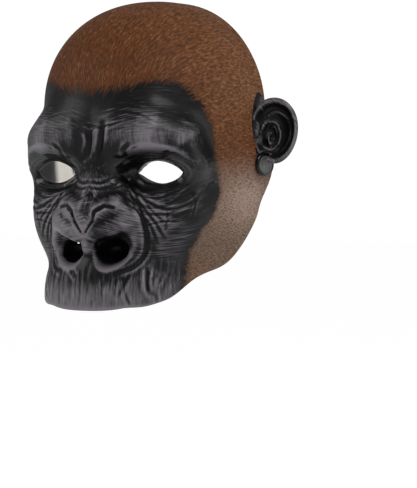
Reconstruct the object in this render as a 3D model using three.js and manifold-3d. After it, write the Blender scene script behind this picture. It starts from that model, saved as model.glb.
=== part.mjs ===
import * as THREE from 'three';
import { mergeVertices } from 'three/addons/utils/BufferGeometryUtils.js';
import Module from 'manifold-3d';

const wasm = await Module();
wasm.setup();

// A cast latex gorilla mask: one hollow skin with both ears, a rivet on each side and an elastic strap.
// Lengths are millimetres. The face looks along -Y, +Z is up, +X is the wearer's left. The sculpt is laid out
// from the point midway between the eye holes, and the finished model is moved so that its origin is the seat
// in the crown.

// Head
const HEAD_WIDTH = 159;       // across the temples, outside
const HEAD_DEPTH = 100;       // from the eye line back to the cut edge behind the ears, nearly
const CROWN_HEIGHT = 122;     // top of the crown above the eye line
const LIP_DROP = 101;         // lower edge of the upper lip below the eye line
const WALL = 2;               // thickness of the latex
const SOFTNESS = 14;          // how wide two swollen forms flow into each other
const SEAT_BACK = 56;         // the crown's seat, behind the eye line

// Face
const EYE_SPACING = 86;       // between the middles of the eye holes
const EYE_WIDTH = 34;         // eye hole
const EYE_HEIGHT = 15.5;
const NOSE_WIDTH = 70;
const NOSE_HEIGHT = 56;
const NOSE_REACH = 18;        // from the nose's root plane to its front, nearly
const NOSE_DROP = 46;         // middle of the nose below the eye line
const MUZZLE_WIDTH = 116;
const MUZZLE_REACH = 50;
const BREATH_HOLE = 2.6;      // pinhole in each nostril

// Ears
const EAR_WIDTH = 34;
const EAR_HEIGHT = 48;
const EAR_CUP = 9;            // how deep the ear is hollowed
const EAR_THICK = 3.4;
const EAR_LEAN = 10;          // degrees that it leans back
const EAR_BACK = 69;          // its front root, behind the eye line
const EAR_RISE = 30;          // its middle above the eye line

// Rivets and strap
const CAP_WIDTH = 17.5;
const CAP_THICK = 2.2;
const SHANK = 4;
const FOOT_WIDTH = 11;
const FOOT_THICK = 1.4;
const RIVET_BACK = 74;        // behind the eye line
const RIVET_RISE = 5.5;       // above the eye line
const STRAP_WIDTH = 12;
const STRAP_THICK = 1.3;
const STRAP_REACH = 58;       // how far the strap swings behind the rivets
const STRAP_RISE = 20;        // how far it climbs towards the back of the head
const STRAP_END = 8;          // flat strap left in front of the rivet
const STRAP_TAB = 7;          // and behind it
const GAP = 0.3;              // clearance between two pieces

const OUTER_CELL = 6;       // net of the face outside, wider on the crown and sides
const INNER_CELL = 8;
const EDGE_SPOKES = 120;
const EAR_SPOKES = 24;

const V = (x, y, z) => new THREE.Vector3(x, y, z);
const RAD = Math.PI / 180;
const halfHead = HEAD_WIDTH / 2;

// Each unit is a named frame: where it sits and what one share along x, y, up and down stands for.
const UNITS = {
  head: { at: [0, 0, 0], x: halfHead, y: HEAD_DEPTH, up: CROWN_HEIGHT, down: LIP_DROP },
  eye: {
    at: [EYE_SPACING / 2, 0, 0],
    x: EYE_WIDTH / 2, y: EYE_WIDTH / 2, up: EYE_HEIGHT / 2, down: EYE_HEIGHT / 2,
  },
  nose: {
    at: [0, -NOSE_REACH, -NOSE_DROP],
    x: NOSE_WIDTH / 2, y: NOSE_REACH, up: NOSE_HEIGHT / 2, down: NOSE_HEIGHT / 2,
  },
  muzzle: {
    at: [0, 0.13 * HEAD_DEPTH, -0.88 * LIP_DROP],
    x: MUZZLE_WIDTH / 2, y: MUZZLE_REACH, up: MUZZLE_REACH, down: MUZZLE_REACH,
  },
};

// Forms of the sculpt, for the wearer's left half. Columns: form, act, soft (share of SOFTNESS), unit, then
// either a ball (centre x y z, radius x y z) or a rod (rows of x y z and radius, a share of the unit's x).
const FORMS = [
  { form: 'muzzle', act: 'join', soft: 1, unit: 'muzzle', ball: [0, 0, 0, 1, 1, 1.15] },
  { form: 'brow', act: 'join', soft: 1, unit: 'head',
    rod: [[0, -0.09, 0.24, 0.16], [0.25, -0.12, 0.23, 0.19], [0.5, -0.1, 0.225, 0.22], [0.67, 0, 0.18, 0.21],
      [0.75, 0.06, 0.06, 0.18]] },
  { form: 'cheek', act: 'join', soft: 1, unit: 'head', ball: [0.56, 0.1, -0.28, 0.32, 0.25, 0.36] },
  { form: 'bridge', act: 'join', soft: 0.85, unit: 'head',
    rod: [[0, -0.1, 0.11, 0.11], [0, -0.12, -0.04, 0.12], [0, -0.2, -0.24, 0.15]] },
  { form: 'ear root', act: 'join', soft: 0.7, unit: 'head', ball: [0.6, 1, 0.06, 0.46, 0.7, 0.3] },
  { form: 'eye socket', act: 'carve', soft: 0.6, unit: 'head', ball: [0.55, -0.2, -0.02, 0.34, 0.22, 0.12] },
  { form: 'upper lid', act: 'join', soft: 0.3, unit: 'eye',
    rod: [[-1.2, -0.15, -0.1, 0.16], [-0.5, -0.33, 1.15, 0.2], [0.4, -0.17, 1.35, 0.2], [1.15, 0.3, 0.2, 0.2]] },
  { form: 'lower lid', act: 'join', soft: 0.3, unit: 'eye',
    rod: [[-1.2, -0.15, -0.2, 0.16], [-0.5, -0.28, -1.25, 0.2], [0.4, -0.1, -1.5, 0.2], [1.15, 0.3, -0.3, 0.2]] },
  { form: 'eye bag', act: 'join', soft: 0.5, unit: 'eye',
    rod: [[-0.9, -0.2, -2.5, 0.15], [0.1, -0.1, -3.1, 0.2], [1.2, 0.45, -2.2, 0.17]] },
  { form: 'frown fold', act: 'carve', soft: 0.35, unit: 'head',
    rod: [[0.16, -0.31, 0.24, 0.04], [0.12, -0.27, 0.08, 0.05]] },
  { form: 'nose wing', act: 'join', soft: 0.45, unit: 'nose',
    rod: [[0.12, -0.8, 0.2, 0.15], [0.28, -0.8, 0.6, 0.25], [0.52, -0.5, 0.72, 0.28], [0.78, -0.15, 0.42, 0.28],
      [0.85, 0.1, -0.1, 0.25], [0.74, 0.1, -0.46, 0.2], [0.46, -0.1, -0.62, 0.15]] },
  { form: 'nostril', act: 'carve', soft: 0.25, unit: 'nose',
    rod: [[0.3, -1.15, -0.38, 0.2], [0.5, -0.85, -0.22, 0.31], [0.66, -0.65, -0.1, 0.26]] },
  { form: 'nostril floor', act: 'carve', soft: 0.2, unit: 'nose', ball: [0.48, -0.5, -0.2, 0.26, 0.9, 0.32] },
  { form: 'septum', act: 'join', soft: 0.3, unit: 'nose', rod: [[0, -0.95, 0.4, 0.15], [0, -0.8, -0.24, 0.13]] },
  { form: 'nose groove', act: 'carve', soft: 0.25, unit: 'nose',
    rod: [[0, -0.8, 1.05, 0.1], [0, -1.15, 0.6, 0.1], [0, -1.45, 0.1, 0.05]] },
];

// The cut edge from the crown down to the lip, in shares of the head. Columns: x, y, z.
const EDGE = [
  [0, 0.78, 1], [0.5, 0.78, 0.93], [0.84, 0.8, 0.74], [0.99, 0.84, 0.49], [1.04, 0.88, 0.25],
  [1.06, 0.88, -0.03], [1.03, 0.86, -0.2], [0.98, 0.82, -0.32], [0.95, 0.74, -0.43], [0.91, 0.62, -0.545],
  [0.85, 0.46, -0.655], [0.75, 0.14, -0.775], [0.65, -0.08, -0.885], [0.56, -0.2, -0.94], [0.38, -0.34, -0.99],
  [0, -0.41, -1.015],
];

// Ridges on the ear's hollow. Columns: ridge, middle s t, radius s t, band, lift; s runs out from the head and
// t up, in shares of the ear's width and height, band is a share of the radius and lift a share of the cup.
const EAR_RIDGES = [
  { ridge: 'antihelix', s: 0.42, t: -0.05, rs: 0.25, rt: 0.25, band: 0.2, lift: 0.3 },
  { ridge: 'inner ring', s: 0.36, t: -0.09, rs: 0.1, rt: 0.1, band: 0.4, lift: 0.2 },
  { ridge: 'tragus', s: 0.1, t: -0.22, rs: 0.001, rt: 0.001, band: 150, lift: 0.5 },
];

const softMin = (a, b, k) => {
  const h = Math.min(1, Math.max(0, 0.5 + (0.5 * (b - a)) / k));
  return b * (1 - h) + a * h - k * h * (1 - h);
};
const softMax = (a, b, k) => -softMin(-a, -b, k);

function place(unit, [x, y, z]) {
  const u = UNITS[unit];
  return V(u.at[0] + x * u.x, u.at[1] + y * u.y, u.at[2] + z * (z > 0 ? u.up : u.down));
}

function ballDepth(x, y, z, c, r) {
  const [u, v, w] = [(x - c.x) / r.x, (y - c.y) / r.y, (z - c.z) / r.z];
  const k = Math.sqrt(u * u + v * v + w * w);
  const slope = Math.sqrt((u / r.x) ** 2 + (v / r.y) ** 2 + (w / r.z) ** 2);
  return (k * (k - 1)) / Math.max(slope, 1e-9);
}

function rodDepth(x, y, z, spans) {
  let best = Infinity;
  for (const { a, run, length, r, grow } of spans) {
    const [u, v, w] = [x - a.x, y - a.y, z - a.z];
    const t = Math.min(1, Math.max(0, (u * run.x + v * run.y + w * run.z) / length));
    const away = Math.sqrt((u - t * run.x) ** 2 + (v - t * run.y) ** 2 + (w - t * run.z) ** 2);
    best = Math.min(best, away - r - t * grow);
  }
  return best;
}

// The skull is a slightly squared ball above and in front of its middle, and runs straight back and down from
// it.
const skullMiddle = V(0, 0.64 * HEAD_DEPTH, 0.37 * CROWN_HEIGHT);
function skullDepth(x, y, z) {
  const square = 2.16;
  const [rx, ry, rz] = [halfHead, (y < skullMiddle.y ? 0.89 : 3) * HEAD_DEPTH,
    z > skullMiddle.z ? CROWN_HEIGHT - skullMiddle.z + 4 : 2.1 * LIP_DROP];
  const [u, v, w] = [Math.abs(x) / rx, Math.abs(y - skullMiddle.y) / ry, Math.abs(z - skullMiddle.z) / rz];
  const k = Math.max(u ** square + v ** square + w ** square, 1e-12) ** (1 / square);
  const rise = square - 1;
  const slope = Math.hypot(u ** rise / rx, v ** rise / ry, w ** rise / rz) * k ** -rise;
  return (0.95 * (k - 1)) / Math.max(slope, 1e-9);
}

const placedForms = FORMS.map((row) => {
  const u = UNITS[row.unit];
  const soft = row.soft * SOFTNESS;
  if (row.ball) {
    const [x, y, z, rx, ry, rz] = row.ball;
    const c = place(row.unit, [x, y, z]);
    const r = V(rx * u.x, ry * u.y, rz * (z < 0 ? u.down : u.up));
    return { act: row.act, soft, reach: (px, py, pz) => ballDepth(px, py, pz, c, r) };
  }
  const stops = row.rod.map(([x, y, z, r]) => ({ at: place(row.unit, [x, y, z]), r: r * u.x }));
  const spans = stops.slice(1).map((b, i) => {
    const run = b.at.clone().sub(stops[i].at);
    return { a: stops[i].at, run, length: run.lengthSq(), r: stops[i].r, grow: b.r - stops[i].r };
  });
  return { act: row.act, soft, reach: (px, py, pz) => rodDepth(px, py, pz, spans) };
});

// Height of a point over the sculpted surface, below zero inside.
const midlineBlend = 1.5;
function depth({ x, y, z }) {
  const side = Math.sqrt(x * x + midlineBlend ** 2);
  let d = skullDepth(side, y, z);
  for (const { act, soft, reach } of placedForms) {
    const other = reach(side, y, z);
    d = act === 'join' ? softMin(d, other, soft) : softMax(d, -other, soft);
  }
  return d;
}

function slopeAt(p, step = 0.1) {
  const d = depth(p);
  return { d, slope: V(depth(V(p.x + step, p.y, p.z)) - d, depth(V(p.x, p.y + step, p.z)) - d,
    depth(V(p.x, p.y, p.z + step)) - d).divideScalar(step) };
}

// The cut edge is a cone of rays from inside the head.
const core = V(0, 0.45 * HEAD_DEPTH, -0.2 * LIP_DROP);
const tilt = 8 * RAD;
const ahead = V(0, -Math.cos(tilt), Math.sin(tilt));
const upward = V(0, Math.sin(tilt), Math.cos(tilt));
const edgeTurns = EDGE.map((row) => {
  const v = place('head', row).sub(core).normalize();
  return { turn: Math.atan2(v.x, v.dot(upward)), open: Math.acos(v.dot(ahead)) };
});
const turns = [
  ...edgeTurns.slice(1, 3).reverse().map((e) => ({ turn: -e.turn, open: e.open })),
  ...edgeTurns,
  ...edgeTurns.slice(-3, -1).reverse().map((e) => ({ turn: 2 * Math.PI - e.turn, open: e.open })),
];

function edgeOpen(turn) {
  const a = Math.abs(turn);
  let i = 2;
  while (i < turns.length - 3 && turns[i + 1].turn <= a) i++;
  const slope = (j) => (turns[j + 1].open - turns[j - 1].open) / (turns[j + 1].turn - turns[j - 1].turn);
  const h = turns[i + 1].turn - turns[i].turn;
  const t = (a - turns[i].turn) / h;
  return (2 * t ** 3 - 3 * t ** 2 + 1) * turns[i].open + (t ** 3 - 2 * t ** 2 + t) * h * slope(i)
    + (3 * t ** 2 - 2 * t ** 3) * turns[i + 1].open + (t ** 3 - t ** 2) * h * slope(i + 1);
}

function ray(share, turn) {
  const open = share * edgeOpen(turn);
  return ahead.clone().multiplyScalar(Math.cos(open)).addScaledVector(upward, Math.sin(open) * Math.cos(turn))
    .add(V(Math.sin(open) * Math.sin(turn), 0, 0));
}

function reachAlong(dir, level, from, start = 2.4 * HEAD_DEPTH) {
  let t = start;
  for (let i = 0; i < 90; i++) {
    const d = depth(from.clone().addScaledVector(dir, t)) - level;
    if (Math.abs(d) < 0.005) break;
    t -= Math.min(12, Math.max(-6, d * 0.75));
  }
  return t;
}

// Lines of a grid from low to high, close together between two marks and wide outside them.
function gridLines(low, high, from, to, fine, coarse) {
  const lines = [];
  const spread = (a, b, first, last) => {
    const count = Math.max(1, Math.round((b - a) / ((first + last) / 2)));
    for (let k = 0; k < count; k++) {
      const t = k / count;
      lines.push(a + (b - a) * (t + ((last - first) / (last + first)) * t * (t - 1)));
    }
  };
  spread(low, from, coarse, fine);
  spread(from, to, fine, fine);
  spread(to, high, fine, coarse);
  return [...lines, high];
}

// The sculpt, or the room under its wall, as a closed net: one point in each grid cell that the surface crosses
// and one face for each grid line that it crosses.
function body(level, size) {
  const reachX = 1.25 * halfHead;
  const lines = [
    gridLines(-reachX, reachX, -0.68 * halfHead, 0.68 * halfHead, size, 2.3 * size),
    gridLines(-0.72 * HEAD_DEPTH, 1.14 * HEAD_DEPTH, -0.62 * HEAD_DEPTH, 0.05 * HEAD_DEPTH, size, 2.1 * size),
    gridLines(-1.2 * LIP_DROP, 1.08 * CROWN_HEIGHT, -0.8 * LIP_DROP, 0.3 * CROWN_HEIGHT, size, 2.5 * size),
  ];
  const [nx, ny, nz] = lines.map((l) => l.length);
  const id = (i, j, k) => (i * ny + j) * nz + k;
  const at = (i, j, k) => V(lines[0][i], lines[1][j], lines[2][k]);
  const height = new Float64Array(nx * ny * nz);
  for (let i = 0; i < nx; i++) {
    for (let j = 0; j < ny; j++) {
      for (let k = 0; k < nz; k++) {
        const outer = i === 0 || j === 0 || k === 0 || i === nx - 1 || j === ny - 1 || k === nz - 1;
        const d = depth(at(i, j, k)) - level;
        height[id(i, j, k)] = outer ? Math.max(d, 1) : d;
      }
    }
  }
  const points = [];
  const fixed = [];
  const beside = [];
  const cells = new Map();
  // The points of one cell, by the cell edge that the surface crosses. Where two sheets pass through, each has
  // its own.
  const cellPoints = (i, j, k) => {
    const key = id(i, j, k);
    if (cells.has(key)) return cells.get(key);
    const corner = (c) => [i + (c & 1), j + ((c >> 1) & 1), k + (c >> 2)];
    const h = [0, 1, 2, 3, 4, 5, 6, 7].map((c) => height[id(...corner(c))]);
    const group = new Map();
    for (const bit of [1, 2, 4]) {
      for (let c = 0; c < 8; c++) {
        if (!(c & bit) && h[c] < 0 !== h[c | bit] < 0) group.set(8 * bit + c, 8 * bit + c);
      }
    }
    const join = (a, b) => {
      const [from, to] = [group.get(a), group.get(b)];
      group.forEach((g, e) => g === from && group.set(e, to));
    };
    for (const [f, u, v] of [[1, 2, 4], [2, 1, 4], [4, 1, 2]]) {
      for (const base of [0, f]) {
        const rim = [8 * u + base, 8 * u + (base | v), 8 * v + base, 8 * v + (base | u)];
        const crossed = rim.filter((e) => group.has(e));
        if (crossed.length === 2) join(...crossed);
        if (crossed.length < 4) continue;
        for (const c of [base, base | u, base | v, base | u | v]) {
          if (h[c] < 0) join(8 * u + (c & ~u), 8 * v + (c & ~v));
        }
      }
    }
    const found = new Map();
    new Set(group.values()).forEach((g) => {
      const mean = V(0, 0, 0);
      const edges = [...group.keys()].filter((e) => group.get(e) === g);
      for (const e of edges) {
        const [c, bit] = [e & 7, e >> 3];
        mean.add(at(...corner(c)).lerp(at(...corner(c | bit)), h[c] / (h[c] - h[c | bit])));
      }
      const point = points.push(mean.divideScalar(edges.length)) - 1;
      fixed.push(i < 1 || j < 1 || k < 1 || i > nx - 3 || j > ny - 3 || k > nz - 3);
      beside.push(new Set());
      edges.forEach((e) => found.set(e, point));
    });
    cells.set(key, found);
    return found;
  };
  const faces = [];
  for (let i = 0; i < nx - 1; i++) {
    for (let j = 0; j < ny - 1; j++) {
      for (let k = 0; k < nz - 1; k++) {
        const here = height[id(i, j, k)] < 0;
        const sides = [
          [1, [i + 1, j, k], [[i, j - 1, k - 1], [i, j, k - 1], [i, j, k], [i, j - 1, k]]],
          [2, [i, j + 1, k], [[i - 1, j, k - 1], [i - 1, j, k], [i, j, k], [i, j, k - 1]]],
          [4, [i, j, k + 1], [[i - 1, j - 1, k], [i, j - 1, k], [i, j, k], [i - 1, j, k]]],
        ];
        for (const [bit, next, around] of sides) {
          if (height[id(...next)] < 0 === here || around.some((c) => Math.min(...c) < 0)) continue;
          const edgeOf = (a, b, c) => 8 * bit + (i - a) + 2 * (j - b) + 4 * (k - c);
          const q = around.map((cell) => cellPoints(...cell).get(edgeOf(...cell)));
          if (!here) q.reverse();
          q.forEach((a, n) => beside[a].add(q[(n + 1) % 4]).add(q[(n + 3) % 4]));
          const [a, b, c, d] = q;
          const across = points[a].distanceTo(points[c]) < points[b].distanceTo(points[d]);
          faces.push(...(across ? [[a, b, c], [a, c, d]] : [[a, b, d], [b, c, d]]));
        }
      }
    }
  }
  return solidOf(geometryOf(points, faces));
}

function geometryOf(points, faces) {
  const g = new THREE.BufferGeometry();
  g.setAttribute('position', new THREE.Float32BufferAttribute(points.flatMap((p) => [p.x, p.y, p.z]), 3));
  g.setIndex(faces.flat());
  return g;
}

function solidOf(geometry) {
  let g = geometry.clone();
  g.deleteAttribute('normal');
  g.deleteAttribute('uv');
  g = mergeVertices(g, 1e-4);
  const [vertProperties, triVerts] = [g.attributes.position.array, new Uint32Array(g.index.array)];
  return new wasm.Manifold(new wasm.Mesh({ numProp: 3, vertProperties, triVerts }));
}

// Everything that lies in front of the cut edge.
function edgeCone() {
  const far = 4 * HEAD_DEPTH;
  const points = [core.clone(), core.clone().addScaledVector(ahead, far)];
  const faces = [];
  const rings = [0.25, 0.5, 0.75, 1];
  rings.forEach((share) => {
    for (let k = 0; k < EDGE_SPOKES; k++) {
      const turn = ((k + 0.5) / EDGE_SPOKES) * 2 * Math.PI - Math.PI;
      points.push(core.clone().addScaledVector(ray(share, turn), far));
    }
  });
  for (let k = 0; k < EDGE_SPOKES; k++) {
    const n = (k + 1) % EDGE_SPOKES;
    faces.push([1, 2 + n, 2 + k]);
    for (let r = 1; r < rings.length; r++) {
      const [a, b] = [2 + (r - 1) * EDGE_SPOKES, 2 + r * EDGE_SPOKES];
      faces.push([a + k, a + n, b + n], [a + k, b + n, b + k]);
    }
    const last = 2 + (rings.length - 1) * EDGE_SPOKES;
    faces.push([0, last + k, last + n]);
  }
  return solidOf(geometryOf(points, faces));
}

// One ear, cupped forward: front and back sheets of spokes and rings that meet along the rim.
const EAR_RINGS = [0.2, 0.38, 0.52, 0.64, 0.74, 0.82, 0.89, 0.95, 1];
const earOut = V(Math.cos(EAR_LEAN * RAD), Math.sin(EAR_LEAN * RAD), 0);
const earFace = V(Math.sin(EAR_LEAN * RAD), -Math.cos(EAR_LEAN * RAD), 0);
function earPoint(ring, turn, side) {
  const s = 0.46 + 0.54 * ring * Math.cos(turn) * (1 + 0.08 * Math.sin(turn));
  const t = 0.5 * ring * Math.sin(turn);
  const cup = -EAR_CUP * (1 - ring ** 2.4);
  const rim = ring ** 7;
  let lift = cup - EAR_THICK * (1 - rim) * 0.9 - 0.2 * EAR_THICK;
  if (side > 0) {
    lift = cup + 0.42 * EAR_CUP * Math.exp(-(((ring - 0.88) / 0.1) ** 2)) - 0.2 * EAR_THICK * rim;
    for (const r of EAR_RIDGES) {
      const away = Math.hypot((s - r.s) / r.rs, (t - r.t) / r.rt);
      lift += r.lift * EAR_CUP * Math.exp(-(((away - 1) / r.band) ** 2)) * (1 - rim);
    }
  }
  const root = V(0.99 * halfHead, EAR_BACK, EAR_RISE);
  return root.addScaledVector(earOut, s * EAR_WIDTH).addScaledVector(earFace, lift).add(V(0, 0, t * EAR_HEIGHT));
}

function ear() {
  const points = [];
  const faces = [];
  const wheel = (side) => {
    const hub = points.push(earPoint(0, 0, side)) - 1;
    let last = null;
    EAR_RINGS.forEach((ring, level) => {
      const start = points.length;
      const face = level === EAR_RINGS.length - 1 ? -1 : side;
      for (let k = 0; k < EAR_SPOKES; k++) points.push(earPoint(ring, (k / EAR_SPOKES) * 2 * Math.PI, face));
      for (let k = 0; k < EAR_SPOKES; k++) {
        const next = (k + 1) % EAR_SPOKES;
        const [a, b] = [start + k, start + next];
        const tris = last === null ? [[hub, a, b]] : [[last + k, a, b], [last + k, b, last + next]];
        tris.forEach(([x, y, z]) => faces.push(side > 0 ? [x, y, z] : [x, z, y]));
      }
      last = start;
    });
  };
  wheel(1);
  wheel(-1);
  return geometryOf(points, faces);
}

// The rivet's axis stands square on the skin in front of the ear lobe's edge.
function rivetSeat() {
  const at = V(0, RIVET_BACK, RIVET_RISE);
  at.x = reachAlong(V(1, 0, 0), 0, at);
  const e = 4;
  const slope = (d) => depth(at.clone().add(d)) - depth(at.clone().sub(d));
  const axis = V(slope(V(e, 0, 0)), slope(V(0, e, 0)), slope(V(0, 0, e))).normalize();
  axis.z = 0;
  axis.normalize();
  const back = V(0, 0, 1).cross(axis);
  const height = (along, up, level) => {
    const from = at.clone().addScaledVector(back, along).add(V(0, 0, up));
    return reachAlong(axis, level, from, 0.15 * halfHead);
  };
  const cap = [0];
  const tab = [];
  for (let k = 0; k < 16; k++) {
    const turn = (k / 16) * 2 * Math.PI;
    for (const r of [0.2, 0.35, 0.5].map((share) => share * CAP_WIDTH)) {
      cap.push(height(r * Math.cos(turn), r * Math.sin(turn), 0));
    }
    const along = -STRAP_END + (k / 15) * (STRAP_END + STRAP_TAB);
    for (const up of [-0.5, 0, 0.5]) tab.push(height(along, up * STRAP_WIDTH, -WALL));
  }
  return { at, axis, back, top: Math.max(...cap) + GAP, under: Math.min(...tab) - 2 * GAP };
}
const seat = rivetSeat();

// Moves a shape made along +Z onto the rivet's axis.
function ontoRivet(geometry) {
  const basis = new THREE.Matrix4().makeBasis(seat.back, V(0, 0, 1), seat.axis);
  return geometry.clone().applyMatrix4(basis).translate(seat.at.x, seat.at.y, seat.at.z);
}

function disc(rows, sides = 20) {
  return new THREE.LatheGeometry(rows.map(([r, h]) => new THREE.Vector2(r, h)), sides).rotateX(Math.PI / 2);
}

function plug(width, low, high, sides = 16) {
  return disc([[0, low], [width / 2, low], [width / 2, high], [0, high]], sides);
}

const footTop = seat.under - STRAP_THICK - GAP;
function rivet() {
  const [foot, cap] = [FOOT_WIDTH / 2, CAP_WIDTH / 2];
  const rows = [
    [0, footTop - FOOT_THICK], [foot - 0.5, footTop - FOOT_THICK], [foot, footTop - 0.7 * FOOT_THICK], [foot, footTop],
    [SHANK / 2, footTop], [SHANK / 2, seat.top],
    [cap, seat.top], [cap, seat.top + 0.35 * CAP_THICK], [cap - 1.1, seat.top + CAP_THICK], [0, seat.top + CAP_THICK],
  ];
  return ontoRivet(disc(rows));
}

// The strap lies flat under each rivet's foot and swings round behind the head.
function strapPath() {
  const inside = seat.at.clone().addScaledVector(seat.axis, seat.under - STRAP_THICK / 2);
  const back = seat.back.clone();
  if (back.y < 0) back.negate();
  const flat = inside.clone().addScaledVector(back, STRAP_TAB);
  const rear = V(0, RIVET_BACK + STRAP_REACH, inside.z + STRAP_RISE);
  const turnIn = flat.clone().add(V(-0.05 * STRAP_REACH, 0.5 * STRAP_REACH, 0));
  const swing = new THREE.CubicBezierCurve3(flat, turnIn, rear.clone().setX(0.55 * halfHead), rear);
  const side = [inside.clone().addScaledVector(back, -STRAP_END), ...swing.getPoints(12)];
  return [...side, ...side.slice(0, -1).reverse().map((p) => V(-p.x, p.y, p.z))];
}

function strap() {
  const path = strapPath();
  const points = [];
  const faces = [];
  path.forEach((p, k) => {
    const run = path[Math.min(k + 1, path.length - 1)].clone().sub(path[Math.max(k - 1, 0)]).normalize();
    const across = V(-run.y, run.x, 0).setLength(STRAP_THICK / 2);
    const upright = run.clone().cross(across).setLength(STRAP_WIDTH / 2);
    for (const [o, h] of [[1, -1], [1, 1], [-1, 1], [-1, -1]]) {
      points.push(p.clone().addScaledVector(across, o).addScaledVector(upright, h));
    }
    if (k === 0) return;
    for (let c = 0; c < 4; c++) {
      const [a, b] = [4 * (k - 1) + c, 4 * (k - 1) + ((c + 1) % 4)];
      faces.push([a, b + 4, a + 4], [a, b, b + 4]);
    }
  });
  const end = points.length - 4;
  faces.push([0, 2, 1], [0, 3, 2], [end, end + 1, end + 2], [end, end + 2, end + 3]);
  return geometryOf(points, faces);
}

// An almond that cuts the eye hole from front to back.
function eyeCutter() {
  const [w, h] = [EYE_WIDTH / 2, EYE_HEIGHT / 2];
  const almond = new THREE.Shape();
  almond.moveTo(-w, -0.1 * h);
  almond.bezierCurveTo(-0.55 * w, 1.15 * h, 0.45 * w, 1.45 * h, w, 0.15 * h);
  almond.bezierCurveTo(0.5 * w, -1.2 * h, -0.45 * w, -1.35 * h, -w, -0.1 * h);
  const g = new THREE.ExtrudeGeometry(almond, { depth: HEAD_DEPTH, bevelEnabled: false, curveSegments: 9 });
  return g.rotateX(Math.PI / 2).translate(EYE_SPACING / 2, 0.4 * HEAD_DEPTH, 0);
}

function breathCutter() {
  const g = new THREE.CylinderGeometry(BREATH_HOLE / 2, BREATH_HOLE / 2, HEAD_DEPTH, 10);
  return g.translate(0.53 * (NOSE_WIDTH / 2), 0, -NOSE_DROP - 0.16 * (NOSE_HEIGHT / 2));
}

function mirrored(geometry) {
  const g = geometry.clone().scale(-1, 1, 1);
  const ids = Array.from(g.index ? g.index.array : Array.from({ length: g.attributes.position.count }, (_, k) => k));
  for (let k = 0; k < ids.length; k += 3) [ids[k + 1], ids[k + 2]] = [ids[k + 2], ids[k + 1]];
  g.setIndex(ids);
  return g;
}

const both = (geometry) => [solidOf(geometry), solidOf(mirrored(geometry))];

const room = body(-WALL, INNER_CELL);
const middle = body(-WALL / 2, INNER_CELL);
const around = ontoRivet(plug(CAP_WIDTH + 2.4, seat.top - 1, seat.top + 3 * CAP_THICK));
let skin = body(0, OUTER_CELL).intersect(edgeCone()).subtract(room);
const [clearLeft, clearRight] = both(around);
const [earLeft, earRight] = both(ear());
skin = skin.add(earLeft.subtract(middle).subtract(clearLeft)).add(earRight.subtract(middle).subtract(clearRight));
const shankHole = ontoRivet(plug(SHANK + 2 * GAP, footTop - FOOT_THICK, seat.top + CAP_THICK));
const cuts = [eyeCutter(), breathCutter(), shankHole];
for (const cut of cuts) for (const one of both(cut)) skin = skin.subtract(one);

const strapHoles = both(ontoRivet(plug(SHANK + 2 * GAP, footTop - FOOT_THICK, seat.under + FOOT_THICK)));
let band = solidOf(strap());
for (const one of strapHoles) band = band.subtract(one);

const crownSeat = V(0, SEAT_BACK, 0);
crownSeat.z = reachAlong(V(0, 0, 1), -WALL, crownSeat);

function meshOf(name, shape, color, roughness, metalness = 0) {
  let g = shape;
  if (!g.isBufferGeometry) {
    const out = shape.getMesh();
    g = new THREE.BufferGeometry();
    g.setAttribute('position', new THREE.BufferAttribute(Float32Array.from(out.vertProperties), 3));
    g.setIndex(Array.from(out.triVerts));
  }
  g = g.clone().translate(-crownSeat.x, -crownSeat.y, -crownSeat.z);
  g.computeVertexNormals();
  const mesh = new THREE.Mesh(g, new THREE.MeshStandardMaterial({ color, roughness, metalness }));
  mesh.name = name;
  return mesh;
}

const [rivetLeft, rivetRight] = both(rivet());
const part = new THREE.Group();
part.name = 'gorilla_mask';
part.add(
  meshOf('mask_skin', skin, 0x3a3433, 0.6),
  meshOf('rivet_left', rivetLeft, 0x38383a, 0.35),
  meshOf('rivet_right', rivetRight, 0x38383a, 0.35),
  meshOf('elastic_strap', band, 0x18181a, 0.85),
);
export default part;
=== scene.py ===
import math
import random

import bmesh
import bpy
import numpy as np
from mathutils import Matrix, Vector


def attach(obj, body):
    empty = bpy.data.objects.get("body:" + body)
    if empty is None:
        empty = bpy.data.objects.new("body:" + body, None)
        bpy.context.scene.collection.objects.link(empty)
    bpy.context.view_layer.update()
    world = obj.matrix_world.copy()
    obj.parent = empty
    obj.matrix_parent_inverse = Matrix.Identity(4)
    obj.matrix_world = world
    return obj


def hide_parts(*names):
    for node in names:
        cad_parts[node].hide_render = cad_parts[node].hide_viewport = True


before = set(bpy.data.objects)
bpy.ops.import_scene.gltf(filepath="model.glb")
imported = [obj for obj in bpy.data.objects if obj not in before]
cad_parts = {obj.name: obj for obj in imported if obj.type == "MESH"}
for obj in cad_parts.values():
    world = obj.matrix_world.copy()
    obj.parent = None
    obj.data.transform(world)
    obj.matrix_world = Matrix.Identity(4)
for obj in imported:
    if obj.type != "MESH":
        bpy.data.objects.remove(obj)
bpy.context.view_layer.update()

# Mask skin, the sculpt. The mask is one hollow casting of soft latex with a 2 mm wall. Its outside was
# modelled in clay as swollen forms that flow into each other. These are the solid's forms, with the nose,
# the frown and the ears' front worked further, in millimetres from the point midway between the eye holes.
HEAD_WIDTH, HEAD_DEPTH, CROWN_HEIGHT, LIP_DROP = 159, 100, 122, 101
WALL, SOFTNESS, SEAT_BACK = 2, 14, 56
EYE_SPACING, EYE_WIDTH, EYE_HEIGHT = 86, 34, 15.5
NOSE_WIDTH, NOSE_HEIGHT, NOSE_REACH, NOSE_DROP = 70, 56, 18, 46
MUZZLE_WIDTH, MUZZLE_REACH = 116, 50
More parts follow.
